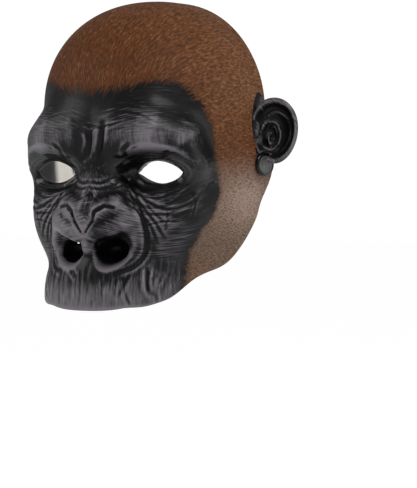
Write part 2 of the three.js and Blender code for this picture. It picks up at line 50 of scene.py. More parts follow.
UNITS = {
    "head": ((0, 0, 0), HEAD_WIDTH / 2, HEAD_DEPTH, CROWN_HEIGHT, LIP_DROP),
    "eye": ((EYE_SPACING / 2, 0, 0), EYE_WIDTH / 2, EYE_WIDTH / 2, EYE_HEIGHT / 2, EYE_HEIGHT / 2),
    "nose": ((0, -NOSE_REACH, -NOSE_DROP), NOSE_WIDTH / 2, NOSE_REACH, NOSE_HEIGHT / 2, NOSE_HEIGHT / 2),
    "muzzle": ((0, 0.13 * HEAD_DEPTH, -0.88 * LIP_DROP), MUZZLE_WIDTH / 2, MUZZLE_REACH, MUZZLE_REACH,
               MUZZLE_REACH),
}
# Columns: form, act, soft, unit, then a ball's middle and radii or a rod's rows of x, y, z and radius.
FORMS = [
    ("muzzle", "join", 1, "muzzle", "ball", [(0, 0, 0), (1, 1, 1.15)]),
    ("brow", "join", 1, "head", "rod",
     [(0, -0.09, 0.24, 0.16), (0.25, -0.12, 0.23, 0.19), (0.5, -0.1, 0.225, 0.22), (0.67, 0, 0.18, 0.21),
      (0.75, 0.06, 0.06, 0.18)]),
    ("cheek", "join", 1, "head", "ball", [(0.56, 0.1, -0.28), (0.32, 0.25, 0.36)]),
    ("bridge", "join", 0.85, "head", "rod",
     [(0, -0.1, 0.11, 0.11), (0, -0.12, -0.04, 0.12), (0, -0.2, -0.24, 0.15)]),
    ("ear root", "join", 0.7, "head", "ball", [(0.6, 1, 0.06), (0.46, 0.7, 0.3)]),
    ("eye socket", "carve", 0.6, "head", "ball", [(0.55, -0.2, -0.02), (0.34, 0.22, 0.12)]),
    ("upper lid", "join", 0.3, "eye", "rod",
     [(-1.2, -0.15, -0.1, 0.16), (-0.5, -0.33, 1.15, 0.2), (0.4, -0.17, 1.35, 0.2), (1.15, 0.3, 0.2, 0.2)]),
    ("lower lid", "join", 0.3, "eye", "rod",
     [(-1.2, -0.15, -0.2, 0.16), (-0.5, -0.28, -1.25, 0.2), (0.4, -0.1, -1.5, 0.2), (1.15, 0.3, -0.3, 0.2)]),
    ("eye bag", "join", 0.5, "eye", "rod",
     [(-0.9, -0.2, -2.5, 0.15), (0.1, -0.1, -3.1, 0.2), (1.2, 0.45, -2.2, 0.17)]),
    ("frown fold", "carve", 0.35, "head", "rod", [(0.14, -0.33, 0.22, 0.025), (0.11, -0.29, 0.08, 0.03)]),
    ("nose wing", "join", 0.45, "nose", "rod",
     [(0.12, -0.62, 0.2, 0.15), (0.28, -0.6, 0.6, 0.25), (0.52, -0.28, 0.72, 0.28), (0.78, 0, 0.42, 0.28),
      (0.87, 0.15, -0.1, 0.24), (0.76, 0.12, -0.5, 0.19), (0.46, -0.05, -0.68, 0.14)]),
    ("wing face", "join", 0.3, "nose", "rod",
     [(0.25, -0.72, 0.1, 0.2), (0.5, -0.6, 0.22, 0.2), (0.72, -0.35, 0.32, 0.2)]),
    ("nostril", "carve", 0.22, "nose", "rod",
     [(0.2, -1.1, -0.48, 0.17), (0.45, -0.85, -0.4, 0.25), (0.78, -0.6, -0.2, 0.22)]),
    ("nostril floor", "carve", 0.2, "nose", "ball", [(0.48, -0.4, -0.34), (0.34, 0.9, 0.31)]),
    ("septum", "join", 0.25, "nose", "rod", [(0, -0.78, 0.4, 0.14), (0, -0.64, -0.28, 0.13)]),
    ("nose groove", "carve", 0.2, "nose", "rod",
     [(0, -0.62, 1.05, 0.1), (0, -0.98, 0.6, 0.09), (0, -1.25, 0.1, 0.04)]),
    ("wing crescent", "carve", 0.1, "nose", "rod",
     [(0.22, -1.02, 0.4, 0.03), (0.29, -1.04, 0.66, 0.045), (0.48, -0.9, 0.82, 0.06),
      (0.65, -0.75, 0.76, 0.03)]),
    ("ear front", "join", 0.2, "head", "rod",
     [(0.95, 0.8, 0.46, 0.04), (0.97, 0.74, 0.36, 0.055), (0.98, 0.7, 0.24, 0.055),
      (0.98, 0.68, 0.1, 0.045)]),
]


def place(unit, row):
    at, x, y, up, down = UNITS[unit]
    return np.array(at, float) + np.array(row[:3]) * (x, y, up if row[2] > 0 else down)


def flow(a, b, soft):
    """The lower of two heights, rounded where they meet."""
    h = np.clip(0.5 + 0.5 * (b - a) / soft, 0, 1)
    return b * (1 - h) + a * h - soft * h * (1 - h)


SKULL_BACK, SKULL_RISE, SKULL_FRONT = 0.64, 0.37, 0.89
SQUARENESS = 2.16


def skull(p):
    """The head without its features: an egg that is a little squared, and drawn out behind and below."""
    middle = np.array([0, SKULL_BACK * HEAD_DEPTH, SKULL_RISE * CROWN_HEIGHT])
    r = np.stack([np.full(len(p), HEAD_WIDTH / 2), np.where(p[:, 1] < middle[1], SKULL_FRONT, 3) * HEAD_DEPTH,
                  np.where(p[:, 2] > middle[2], CROWN_HEIGHT - middle[2] + 4, 2.1 * LIP_DROP)], 1)
    s = np.abs(p - middle) / r
    k = np.maximum((s**SQUARENESS).sum(1), 1e-12)**(1 / SQUARENESS)
    steep = np.sqrt(((s**(SQUARENESS - 1) / r)**2).sum(1)) * k**(1 - SQUARENESS)
    return 0.95 * (k - 1) / np.maximum(steep, 1e-9)


def depth(p):
    """How far points lie outside the sculpt, below zero inside."""
    m = p.copy()
    m[:, 0] = np.sqrt(p[:, 0]**2 + 1.5**2)
    d = skull(m)
    for form, act, soft, unit, kind, rows in FORMS:
        _, x, y, up, down = UNITS[unit]
        if kind == "ball":
            r = np.array(rows[1]) * (x, y, down if rows[0][2] < 0 else up)
            q = m - place(unit, rows[0])
            k = np.linalg.norm(q / r, axis=1)
            other = k * (k - 1) / np.maximum(np.linalg.norm(q / r**2, axis=1), 1e-9)
        else:
            other = np.full(len(m), 1e9)
            for a, b in zip(rows[:-1], rows[1:]):
                start, run = place(unit, a), place(unit, b) - place(unit, a)
                t = np.clip((m - start) @ run / (run @ run), 0, 1)
                away = np.linalg.norm(m - start - t[:, None] * run, axis=1)
                other = np.minimum(other, away - x * (a[3] + t * (b[3] - a[3])))
        d = flow(d, other, soft * SOFTNESS) if act == "join" else -flow(-d, other, soft * SOFTNESS)
    return d


def slope(p):
    d = depth(p)
    n = np.stack([depth(p + 0.1 * axis) - d for axis in np.eye(3)], 1) / 0.1
    return d, n / np.maximum(np.linalg.norm(n, axis=1), 1e-6)[:, None]


def reach(start, ways, level, t):
    """Distance along each way to the outside of the sculpt, or to a level under it."""
    start, t, live = np.broadcast_to(start, ways.shape), t.copy(), np.arange(len(t))
    for _ in range(70):
        d = depth(start[live] + t[live, None] * ways[live]) - level
        live, d = live[np.abs(d) > 0.01], d[np.abs(d) > 0.01]
        if not len(live):
            break
        t[live] -= np.clip(0.75 * d, -6, 12)
    return t


# Mask skin, the casting. It was trimmed along one line from the crown past the ears to the lip, so it is
# laid out as rays from inside the head, out to that line. Columns of EDGE: x, y, z in shares of the head.
EDGE = [
    (0, 0.78, 1), (0.5, 0.78, 0.93), (0.84, 0.8, 0.74), (0.99, 0.84, 0.49), (1.04, 0.88, 0.25),
    (1.06, 0.88, -0.03), (1.03, 0.86, -0.2), (0.98, 0.82, -0.32), (0.95, 0.74, -0.43), (0.91, 0.62, -0.545),
    (0.85, 0.46, -0.655), (0.75, 0.14, -0.775), (0.65, -0.08, -0.885), (0.56, -0.2, -0.94),
    (0.38, -0.34, -0.99), (0, -0.41, -1.015),
]
OUTSIDE_CELLS, INSIDE_CELLS = 256, 120
FACE_TILT = math.radians(8)
CORE = np.array([0, 0.45 * HEAD_DEPTH, -0.2 * LIP_DROP])
AHEAD = np.array([0, -math.cos(FACE_TILT), math.sin(FACE_TILT)])
UPWARD = np.array([0, math.sin(FACE_TILT), math.cos(FACE_TILT)])
trim = np.array([place("head", row) - CORE for row in EDGE])
trim /= np.linalg.norm(trim, axis=1)[:, None]
trim_turn, trim_open = np.arctan2(trim[:, 0], trim @ UPWARD), np.arccos(trim @ AHEAD)


def polar(p):
    """Turn round the face from the top, and angle away from straight ahead."""
    v = p - CORE
    v = v / np.linalg.norm(v, axis=1)[:, None]
    return np.arctan2(v[:, 0], v @ UPWARD), np.arccos(np.clip(v @ AHEAD, -1, 1))


def edge_open(turn):
    a = np.concatenate([-trim_turn[2:0:-1], trim_turn, 2 * np.pi - trim_turn[-2:-4:-1]])
    r = np.concatenate([trim_open[2:0:-1], trim_open, trim_open[-2:-4:-1]])
    i = np.clip(np.searchsorted(a, np.abs(turn), side="right") - 1, 1, len(a) - 3)
    rise = np.zeros(len(a))
    rise[1:-1] = (r[2:] - r[:-2]) / (a[2:] - a[:-2])
    h = a[i + 1] - a[i]
    t = (np.abs(turn) - a[i]) / h
    return ((2 * t**3 - 3 * t**2 + 1) * r[i] + (t**3 - 2 * t**2 + t) * h * rise[i]
            + (3 * t**2 - 2 * t**3) * r[i + 1] + (t**3 - t**2) * h * rise[i + 1])


def sheet(casting, cells, level, easing):
    """Lays a grid on the sculpt, or at a level under it, and returns its vertices with their places."""
    made = bmesh.ops.create_grid(casting, x_segments=cells, y_segments=cells, size=1)["verts"]
    made.sort(key=lambda v: (round(v.co.y * cells), round(v.co.x * cells)))
    p, q = np.array([v.co[:2] for v in made]).T
    u, v = p * np.sqrt(1 - q * q / 2), q * np.sqrt(1 - p * p / 2)
    turn = np.arctan2(u, v)
    angle = edge_open(turn) * np.hypot(u, v)**1.2
    ways = (np.cos(angle)[:, None] * AHEAD + (np.sin(angle) * np.cos(turn))[:, None] * UPWARD)
    ways[:, 0] += np.sin(angle) * np.sin(turn)
    net = CORE + reach(CORE, ways, level, np.full(len(p), 190.0))[:, None] * ways
    side = cells + 1
    for _ in range(easing):
        grid = net.reshape(side, side, 3).copy()
        grid[1:-1, 1:-1] = (grid[:-2, 1:-1] + grid[2:, 1:-1] + grid[1:-1, :-2] + grid[1:-1, 2:]) / 4
        inner = np.zeros((side, side), bool)
        inner[1:-1, 1:-1] = True
        moved = grid.reshape(-1, 3)[inner.ravel()]
        for _ in range(2):
            d, n = slope(moved)
            moved -= np.clip(d - level, -2, 2)[:, None] * n
        net[inner.ravel()] = moved
    return made, net


# Mask skin, the folds. They were cut into the clay and then softened. Columns of FOLDS: fold, both sides
# or one, depth and width in millimetres (a ridge has a depth below zero), unit, rows of x and z.
FOLDS = [
    ("frown ridge", 1, -1.2, 2.4, "head", [(0.07, 0.26), (0.06, 0.18), (0.03, 0.1)]),
    ("frown groove left", 1, 2.0, 2.2, "head", [(-0.02, 0.24), (-0.01, 0.17), (-0.07, 0.08)]),
    ("frown groove right", 1, 1.6, 2.1, "head", [(0.15, 0.285), (0.125, 0.2), (0.07, 0.11)]),
    ("frown side fold", 2, 1.2, 1.7, "head", [(0.4, 0.16), (0.345, 0.125), (0.33, 0.08)]),
    ("forehead crease", 1, 0.7, 0.8, "head", [(-0.06, 0.275), (0.07, 0.262), (0.2, 0.268), (0.33, 0.29)]),
    ("forehead line 1", 1, 0.3, 0.8, "head", [(0.02, 0.325), (0.25, 0.35), (0.48, 0.335), (0.66, 0.285)]),
    ("forehead line 2", 1, 0.25, 0.8, "head", [(0.1, 0.365), (0.3, 0.385), (0.52, 0.37)]),
    ("forehead line 3", 1, 0.25, 0.8, "head", [(-0.08, 0.33), (-0.28, 0.345), (-0.5, 0.32)]),
    ("under the brow", 2, 1.5, 2.4, "head",
     [(0.2, 0.07), (0.36, 0.085), (0.56, 0.1), (0.74, 0.1), (0.88, 0.04)]),
    ("eye fold 1", 2, 0.5, 1.0, "eye",
     [(-1.5, -0.1), (-0.8, -1.75), (0.35, -2.35), (1.3, -1.2), (1.75, 0.4)]),
    ("eye fold 2", 2, 0.4, 0.9, "eye",
     [(-1.5, -0.9), (-0.75, -2.6), (0.35, -3.2), (1.4, -2.0), (1.85, -0.1)]),
    ("eye fold 3", 2, 0.35, 0.9, "eye", [(-1.2, -2.3), (-0.4, -3.5), (0.6, -3.9), (1.5, -2.9)]),
    ("upper lid fold", 2, 0.7, 1.1, "eye", [(-1.5, 0.3), (-0.7, 1.9), (0.4, 2.2), (1.3, 1.2), (1.75, 0.3)]),
    ("bag crease", 2, 0.9, 1.2, "head",
     [(0.4, -0.14), (0.6, -0.235), (0.76, -0.255), (0.87, -0.2), (0.9, -0.08)]),
    ("cheek crease 1", 2, 0.7, 1.0, "head",
     [(0.24, -0.04), (0.38, -0.14), (0.5, -0.26), (0.6, -0.36), (0.66, -0.46)]),
    ("cheek crease 2", 2, 0.6, 0.9, "head", [(0.34, -0.15), (0.44, -0.27), (0.54, -0.36), (0.6, -0.5)]),
    ("cheek crease 3", 2, 0.45, 0.9, "head", [(0.46, -0.17), (0.57, -0.27), (0.68, -0.35)]),
    ("cheek cross 1", 2, 0.45, 0.8, "head", [(0.46, -0.3), (0.58, -0.29), (0.72, -0.285)]),
    ("cheek cross 2", 2, 0.45, 0.8, "head", [(0.52, -0.37), (0.64, -0.345), (0.78, -0.34)]),
    ("cheek upright 1", 2, 0.5, 0.8, "head", [(0.86, -0.15), (0.87, -0.23), (0.855, -0.32)]),
    ("cheek upright 2", 2, 0.4, 0.8, "head", [(0.7, -0.26), (0.7, -0.33), (0.675, -0.4)]),
    ("wing to tip", 2, 1.0, 1.2, "nose", [(0.03, 0.08), (0.12, 0.24), (0.22, 0.4)]),
    ("nose side", 2, 1.0, 1.6, "nose",
     [(0.8, 1.05), (1.02, 0.75), (1.15, 0.2), (1.14, -0.3), (0.98, -0.72), (0.66, -0.92)]),
    ("bridge line 1", 2, 0.6, 1.2, "head", [(0, -0.07), (0.1, -0.075), (0.2, -0.04)]),
    ("bridge line 2", 2, 0.5, 1.2, "head", [(0, -0.11), (0.12, -0.115), (0.25, -0.09)]),
    ("lip corner", 2, 1.3, 1.5, "head", [(0.53, -0.68), (0.54, -0.76), (0.555, -0.84)]),
    ("lip notch", 1, 1.2, 1.6, "head", [(-0.17, -0.67), (-0.1, -0.74)]),
]
LIP_FOLDS, LIP_HALF = 26, 0.64
draw = random.Random(7)
for k in range(LIP_FOLDS):
    x = -LIP_HALF + 2 * LIP_HALF * (k + 0.5 + draw.uniform(-0.35, 0.35)) / LIP_FOLDS
    top, low = -0.67 - 0.05 * abs(x) + draw.uniform(-0.05, 0.06), -0.88 + draw.uniform(-0.09, 0.03)
    FOLDS.append(("lip fold", 1, draw.uniform(0.12, 0.5), draw.uniform(1.1, 2.3), "head",
                  [(x, top), (x + draw.uniform(-0.02, 0.02), (top + low) / 2),
                   (x + draw.uniform(-0.03, 0.03), low)]))


def fold_depth(p):
    """How deep the folds cut in at points on the sculpt, with a soft lip on both sides of each."""
    total = np.zeros(len(p))
    for fold, sides, deep, wide, unit, rows in FOLDS:
        stops = np.array([place(unit, (x, 0, z)) for x, z in rows])
        along = np.linspace(0, len(stops) - 1, 6 * (len(stops) - 1) + 1)
        before = np.vstack([2 * stops[0] - stops[1], stops, 2 * stops[-1] - stops[-2]])
        k = np.minimum(along.astype(int), len(stops) - 2)
        t = (along - k)[:, None]
        a, b, c, e = before[k], before[k + 1], before[k + 2], before[k + 3]
        line = 0.5 * (2 * b + (c - a) * t + (2 * a - 5 * b + 4 * c - e) * t**2
                      + (3 * b - 3 * c + e - a) * t**3)
        line[:, 1] = -200
        line[:, 1] -= reach(line, np.tile([0, -1.0, 0], (len(line), 1)), 0, np.full(len(line), -100.0))
        for way in (1, -1)[:sides]:
            path = line * (way, 1, 1)
            near = np.all((p > path.min(0) - 4 * wide) & (p < path.max(0) + 4 * wide), axis=1)
            q = p[near]
            away = np.full(len(q), 1e9)
            fade = np.zeros(len(q))
            for i, (start, end) in enumerate(zip(path[:-1], path[1:])):
                run = end - start
                s = np.clip((q - start) @ run / max(run @ run, 1e-9), 0, 1)
                reached = np.linalg.norm(q - start - s[:, None] * run, axis=1)
                share = (i + s) / (len(path) - 1)
                fade = np.where(reached < away, np.clip(5 * np.minimum(share, 1 - share) + 0.25, 0, 1), fade)
                away = np.minimum(away, reached)
            groove, lips = np.exp(-(away / wide)**2), np.exp(-((away - 1.8 * wide) / wide)**2)
            total[near] += deep * fade * (groove - 0.35 * lips)
    return 1.6 * np.tanh(total / 1.6)


casting = bmesh.new()
outside, net = sheet(casting, OUTSIDE_CELLS, 0, 3)
_, out = slope(net)
cut_in = fold_depth(net)
for v, spot in zip(outside, net - out * cut_in[:, None]):
    v.co = spot
inside, net = sheet(casting, INSIDE_CELLS, -WALL, 2)
for v, spot in zip(inside, net):
    v.co = spot
bmesh.ops.bridge_loops(casting, edges=[e for e in casting.edges if e.is_boundary])
bmesh.ops.recalc_face_normals(casting, faces=casting.faces)


def piece_of(name, shape):
    mesh = bpy.data.meshes.new(name)
    shape.to_mesh(mesh)
    shape.free()
    piece = bpy.data.objects.new(name, mesh)
    bpy.context.scene.collection.objects.link(piece)
    return piece


skin = piece_of("latex_skin", casting)

# Mask skin, the ears. They are cast in one with the skin: a cupped leaf with a rolled rim, curled ridges
# and the small lump in front of the hollow, trimmed clear of the rivet's cap.
EAR_WIDTH, EAR_HEIGHT, EAR_CUP, EAR_THICK, EAR_BACK, EAR_RISE = 34, 48, 9, 3.4, 69, 30
EAR_LEAN = math.radians(10)
# Columns: ridge, middle s t, radius s t, band as a share of the radius, lift as a share of the cup, and
# the direction in degrees where the ridge dies out.
EAR_RIDGES = [
    ("antihelix", 0.46, -0.02, 0.31, 0.3, 0.13, 0.16, 200),
    ("bowl ring", 0.34, -0.07, 0.2, 0.21, 0.15, 0.34, 190),
    ("inner curl", 0.36, -0.07, 0.1, 0.13, 0.3, 0.26, 160),
    ("curl tip", 0.33, -0.12, 0.04, 0.07, 0.5, 0.2, 60),
    ("tragus", 0.1, -0.16, 0.001, 0.001, 140, 0.85, None),
    ("slit", 0.25, -0.17, 0.001, 0.001, 45, -0.5, None),
    ("front root", 0.08, 0.16, 0.001, 0.001, 110, 0.45, None),
]
CAP_WIDTH, CAP_THICK, SHANK, FOOT_WIDTH, FOOT_THICK = 17.5, 2.2, 4, 11, 1.4
RIVET_BACK, RIVET_RISE, GAP = 74, 5.5, 0.3
STRAP_WIDTH, STRAP_THICK, STRAP_REACH, STRAP_RISE, STRAP_END, STRAP_TAB = 12, 1.3, 58, 20, 8, 7

seat = np.array([[0.0, RIVET_BACK, RIVET_RISE]])
seat[0, 0] = reach(seat, np.array([[1.0, 0, 0]]), 0, np.full(1, 240.0))[0]
axis = np.array([depth(seat + 4 * e)[0] - depth(seat - 4 * e)[0] for e in np.eye(3)])
axis[2] = 0
axis /= np.linalg.norm(axis)
rearward = np.array([-axis[1], axis[0], 0])


def height(along, up, level):
    """How far the skin, or a level under it, stands out at points round the rivet's seat."""
    start = seat + np.array([along]).T * rearward + np.array([up]).T * (0, 0, 1)
    return reach(start, np.tile(axis, (len(start), 1)), level, np.full(len(start), 12.0))


turns = np.repeat(np.arange(16) * math.pi / 8, 3)
wide = np.tile([0.2, 0.35, 0.5], 16) * CAP_WIDTH
cap_low = max(0, height(wide * np.cos(turns), wide * np.sin(turns), 0).max()) + GAP
along = np.repeat(-STRAP_END + np.arange(16) / 15 * (STRAP_END + STRAP_TAB), 3)
strap_top = height(along, np.tile([-0.5, 0, 0.5], 16) * STRAP_WIDTH, -WALL).min() - 2 * GAP
foot_top = strap_top - STRAP_THICK - GAP
onto_rivet = Matrix((
    (rearward[0], 0, axis[0], seat[0, 0]), (rearward[1], 0, axis[1], seat[0, 1]), (0, 1, 0, seat[0, 2]),
    (0, 0, 0, 1)))


def both_sides(shape):
    """Adds the mirror image of all that is in a shape."""
    copy = bmesh.ops.duplicate(shape, geom=shape.verts[:] + shape.edges[:] + shape.faces[:])["geom"]
    bmesh.ops.scale(shape, vec=(-1, 1, 1), verts=[g for g in copy if isinstance(g, bmesh.types.BMVert)])
    bmesh.ops.reverse_faces(shape, faces=[g for g in copy if isinstance(g, bmesh.types.BMFace)])


def plug(shape, width, low, high, sides=48):
    made = bmesh.ops.create_cone(shape, cap_ends=True, segments=sides, radius1=width / 2, radius2=width / 2,
                                 depth=high - low)["verts"]
    bmesh.ops.translate(shape, vec=(0, 0, (low + high) / 2), verts=made)
    bmesh.ops.transform(shape, matrix=onto_rivet, verts=made)


def boolean(piece, tool, operation):
    change = piece.modifiers.new("join", "BOOLEAN")
    change.operation, change.solver, change.object = operation, "EXACT", tool
    done = bpy.data.meshes.new_from_object(piece.evaluated_get(bpy.context.evaluated_depsgraph_get()))
    piece.modifiers.clear()
    piece.data = done
    bpy.data.objects.remove(tool)


leaf = bmesh.new()
bmesh.ops.create_uvsphere(leaf, u_segments=96, v_segments=60, radius=1)
ball = np.array([v.co for v in leaf.verts])
ring = np.clip(np.hypot(ball[:, 0], ball[:, 1]), 0, 1)
turn = np.arctan2(ball[:, 1], ball[:, 0])
s = 0.46 + 0.54 * ring * np.cos(turn) * (1 + 0.08 * np.sin(turn))
t = 0.5 * ring * np.sin(turn)
cup, rim = -EAR_CUP * (1 - ring**2.4), ring**7
front = cup + 0.42 * EAR_CUP * np.exp(-((ring - 0.88) / 0.1)**2) - 0.2 * EAR_THICK * rim
for ridge, mid_s, mid_t, round_s, round_t, band, lift, gap in EAR_RIDGES:
    away = np.hypot((s - mid_s) / round_s, (t - mid_t) / round_t)
    front += lift * EAR_CUP * np.exp(-((away - 1) / band)**2) * (1 - rim) * (1 if gap is None else 1 - np.exp(
        -((1 - np.cos(np.arctan2(t - mid_t, s - mid_s) - math.radians(gap))) / 0.3)**2))
back = cup - EAR_THICK * (1 - rim) * 0.9 - 0.2 * EAR_THICK
lift = np.where(ball[:, 2] > 0.001, front, back)
ear_out = np.array([math.cos(EAR_LEAN), math.sin(EAR_LEAN), 0])
ear_face = np.array([math.sin(EAR_LEAN), -math.cos(EAR_LEAN), 0])
ear = (np.array([0.99 * HEAD_WIDTH / 2, EAR_BACK, EAR_RISE]) + s[:, None] * EAR_WIDTH * ear_out
       + lift[:, None] * ear_face + t[:, None] * EAR_HEIGHT * np.array([0, 0, 1]))
for _ in range(3):
    d, n = slope(ear)
    ear += np.clip(-WALL / 2 - d, 0, 3)[:, None] * n
for v, spot in zip(leaf.verts, ear):
    v.co = spot
bmesh.ops.recalc_face_normals(leaf, faces=leaf.faces)
both_sides(leaf)
ears = piece_of("ears", leaf)
clear = bmesh.new()
plug(clear, CAP_WIDTH + 2.4, cap_low - 1, cap_low + 3 * CAP_THICK)
both_sides(clear)
boolean(ears, piece_of("clearance", clear), "DIFFERENCE")
boolean(skin, ears, "UNION")

# Mask skin, the holes. They go right through the casting: two almond eye holes, a breathing pinhole in
# each nostril and a hole for each rivet's shank.
BREATH_HOLE, PIN_SLANT = 1.6, 31
holes = bmesh.new()
w, h = EYE_WIDTH / 2, EYE_HEIGHT / 2
upper = [(-w, -0.1 * h), (-0.55 * w, 1.25 * h), (0.45 * w, 1.5 * h), (1.16 * w, 0)]
lower = [(1.16 * w, 0), (0.7 * w, -1.35 * h), (-0.45 * w, -1.4 * h), (-w, -0.1 * h)]
corner = []
for a, b, c, e in (upper, lower):
    for k in range(24):
        t = k / 24
        mix = [(1 - t)**3, 3 * t * (1 - t)**2, 3 * t * t * (1 - t), t**3]
        x, z = (sum(m * g[i] for m, g in zip(mix, (a, b, c, e))) for i in (0, 1))
        corner.append(holes.verts.new((EYE_SPACING / 2 + x, 0.4 * HEAD_DEPTH, z)))
almond = holes.faces.new(corner)
pulled = bmesh.ops.extrude_face_region(holes, geom=[almond])["geom"]
bmesh.ops.translate(holes, vec=(0, -HEAD_DEPTH, 0),
                    verts=[g for g in pulled if isinstance(g, bmesh.types.BMVert)])
pin = bmesh.ops.create_cone(holes, cap_ends=True, segments=20, radius1=BREATH_HOLE / 2,
                            radius2=BREATH_HOLE / 2, depth=0.6 * NOSE_WIDTH)["verts"]
slant = Matrix.Rotation(math.radians(-PIN_SLANT), 3, "Z") @ Matrix.Rotation(math.pi / 2, 3, "X")
bmesh.ops.rotate(holes, cent=(0, 0, 0), matrix=slant, verts=pin)
pin_at = (0.6 * NOSE_WIDTH / 2, -0.6 * NOSE_REACH, -NOSE_DROP - 0.09 * NOSE_HEIGHT)
bmesh.ops.translate(holes, vec=pin_at, verts=pin)
plug(holes, SHANK + 2 * GAP, foot_top - 6, cap_low + 3, 32)
bmesh.ops.recalc_face_normals(holes, faces=holes.faces)
both_sides(holes)
boolean(skin, piece_of("holes", holes), "DIFFERENCE")

# Mask skin, the guides for the finish: where the fur was painted, how it lies, and what stands proud.
# Columns of FUR_LINE: degrees round the face from the top, and the share of the way to the trimmed edge.
FUR_LINE = [(0, 0.41), (12, 0.42), (24, 0.47), (35, 0.57), (50, 0.63), (73, 0.635), (86, 0.67), (101, 0.65),
            (110, 0.61), (123, 0.67), (130, 0.8), (136, 0.93), (142, 1.06), (180, 1.2)]
MM_PER_RADIAN, FINE_STEPS, BROAD_STEPS = 85, 6, 40
STRANDS_ROUND, STRANDS_OUT = 64, 22
# EAR_ROOT_SHADE and its size mark a patch of painted shade in front of each ear's root, where the fur gives
# way to black.
EAR_ROOT_SHADE, EAR_ROOT_SHADE_SIZE = (81, 76, 30), (14, 11, 30)
crown_seat = np.array([0, SEAT_BACK, reach(np.array([[0.0, SEAT_BACK, 0]]), np.array([[0, 0, 1.0]]), -WALL,
                                           np.full(1, 240.0))[0]])
mesh = skin.data
count = len(mesh.vertices)
p = np.empty(3 * count, np.float32)
mesh.vertices.foreach_get("co", p)
p = p.reshape(-1, 3).astype(float)
n = np.array([v.vector for v in mesh.vertex_normals])
ends = np.empty(2 * len(mesh.edges), np.int32)
mesh.edges.foreach_get("vertices", ends)
a, b = ends.reshape(-1, 2).T
near = np.bincount(a, minlength=count) + np.bincount(b, minlength=count)
eased = p.copy()
stands = {}
for k in range(1, BROAD_STEPS + 1):
    total = np.stack([np.bincount(a, eased[b, i], count) + np.bincount(b, eased[a, i], count)
                      for i in range(3)], 1)
    eased = total / np.maximum(near, 1)[:, None]
    if k in (FINE_STEPS, BROAD_STEPS):
        stands[k] = ((p - eased) * n).sum(1)
turn, angle = polar(p)
out = depth(p)
line = np.interp(np.abs(turn), np.radians([r[0] for r in FUR_LINE]), [r[1] for r in FUR_LINE])
fur = (angle - line * edge_open(turn)) * MM_PER_RADIAN
ear_part = np.clip((out - 1) / 2, 0, 1)
one_side = np.column_stack([np.abs(p[:, 0]), p[:, 1:]])
root = np.linalg.norm((one_side - EAR_ROOT_SHADE) / EAR_ROOT_SHADE_SIZE, axis=1)
cheek = np.clip((12 - p[:, 2]) / 45, 0, 1) * np.clip((np.abs(p[:, 0]) - 45) / 20, 0, 1)
# Columns: spot, unit, x and z, reach along x and z, brushing. An x below zero is for that side alone, and
# brushing below zero leaves it black. Most spots are dry-brushing, but the right nose wing's is a painted
# highlight and the band under the brow is painted shade.
SPOTS = [
    ("brow", "head", 0.47, 0.2, 0.34, 0.06, 0.85),
    ("frown", "head", 0.07, 0.18, 0.12, 0.1, -0.6),
    # Painted shade: the band under the brow is kept black, standing in for the shade under the brow ridge.
    ("under the brow", "head", 0.5, 0.115, 0.42, 0.05, -0.75),
    ("lids", "eye", 0.1, -0.1, 1.6, 2.2, -0.9),
    ("inner corner", "head", 0.24, -0.01, 0.1, 0.07, -0.3),
    ("bridge", "head", 0, -0.12, 0.18, 0.11, 0.7),
    ("nostril", "nose", 0.48, -0.34, 0.33, 0.34, -2.6),
    ("septum", "nose", 0, -0.1, 0.16, 0.4, 1.7),
    ("wings", "nose", 0.5, 0.25, 0.55, 0.6, 0.2),
    # Painted highlight: the right nose wing alone is brushed lighter, standing in for the light on that side.
    ("right wing", "nose", -0.7, 0.1, 0.5, 0.6, 1.6),
    ("under the nose", "nose", 0, -0.98, 0.8, 0.32, -0.8),
    ("outer cheek", "head", 0.88, -0.14, 0.14, 0.3, -0.45),
    ("squares", "head", 0.5, -0.3, 0.2, 0.12, 0.6),
    ("lip", "head", 0.2, -0.88, 0.62, 0.13, 1.5),
    ("lip edge", "head", 0.2, -0.98, 0.7, 0.06, 0.2),
    ("outer brow", "head", 0.86, 0.12, 0.1, 0.08, 0.4),
    ("bag", "head", 0.62, -0.17, 0.3, 0.06, -0.25),
    ("low cheek", "head", 0.7, -0.47, 0.25, 0.16, -0.2),
    ("outer socket", "head", 0.88, 0, 0.1, 0.08, -0.15),
]
across = ((one_side - (0.99 * HEAD_WIDTH / 2, EAR_BACK, EAR_RISE)) @ ear_out / EAR_WIDTH - 0.46) / 0.54
helix = np.exp(-((np.hypot(across, (p[:, 2] - EAR_RISE) / EAR_HEIGHT * 2) - 0.97) / 0.16)**2)
beside_eye = np.stack([(np.abs(p[:, 0]) - EYE_SPACING / 2) / 1.6, (p[:, 1] + 12) / 1.6, p[:, 2]], 1)
rings = np.linalg.norm(beside_eye, axis=1)
brushed = np.zeros(count)
for spot, unit, x, z, wide, tall, amount in SPOTS:
    _, size_x, _, size_up, _ = UNITS[unit]
    middle = place(unit, (x, 0, z))
    along = p[:, 0] if x < 0 else np.abs(p[:, 0])
    away = np.hypot((along - middle[0]) / (wide * size_x), (p[:, 2] - middle[2]) / (tall * size_up))
    brushed += amount * np.exp(-away**2 * 0.7) * (p[:, 1] < 40)
